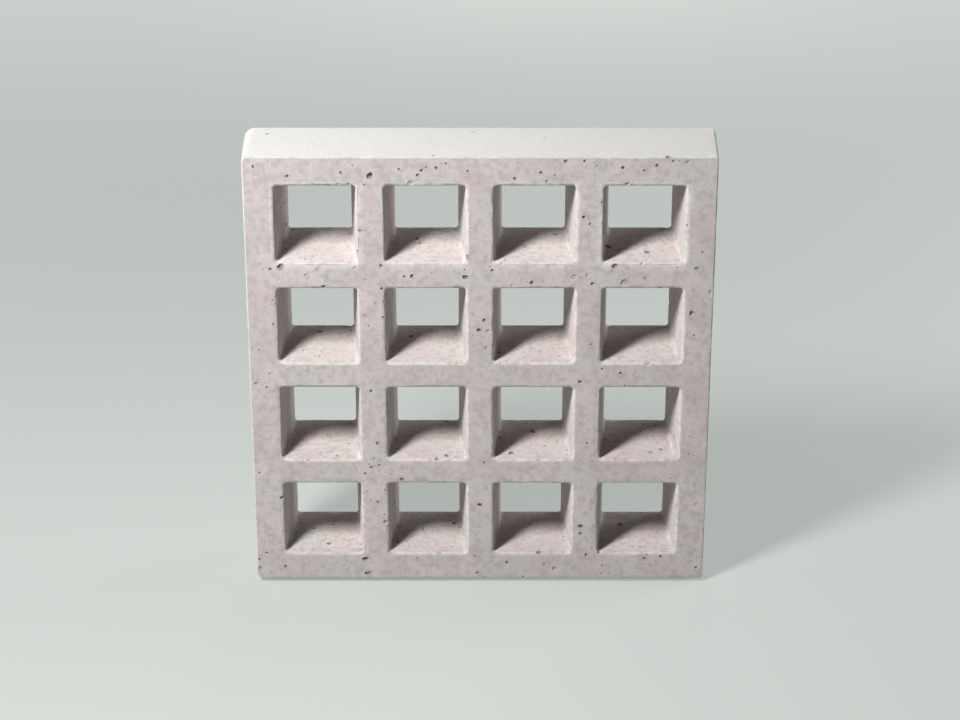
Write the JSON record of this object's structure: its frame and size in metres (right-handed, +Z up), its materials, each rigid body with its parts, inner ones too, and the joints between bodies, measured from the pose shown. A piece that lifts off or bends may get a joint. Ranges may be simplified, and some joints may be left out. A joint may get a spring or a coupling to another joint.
{
  "type": "decorative screen block",
  "caption": "Square cast concrete screen block with a grid of square tapered openings, laid in courses to make an open decorative wall.",
  "frame": {"origin": "on the floor, below the middle of the block's width and thickness", "axes": "+X to the right seen from the front, -Y out of the decorative face, +Z up"},
  "size_m": [0.39, 0.065, 0.39],
  "materials": {
    "concrete": "matte"
  },
  "bodies": {
    "root": {"screen_block": "concrete"}
  },
  "joints": []
}
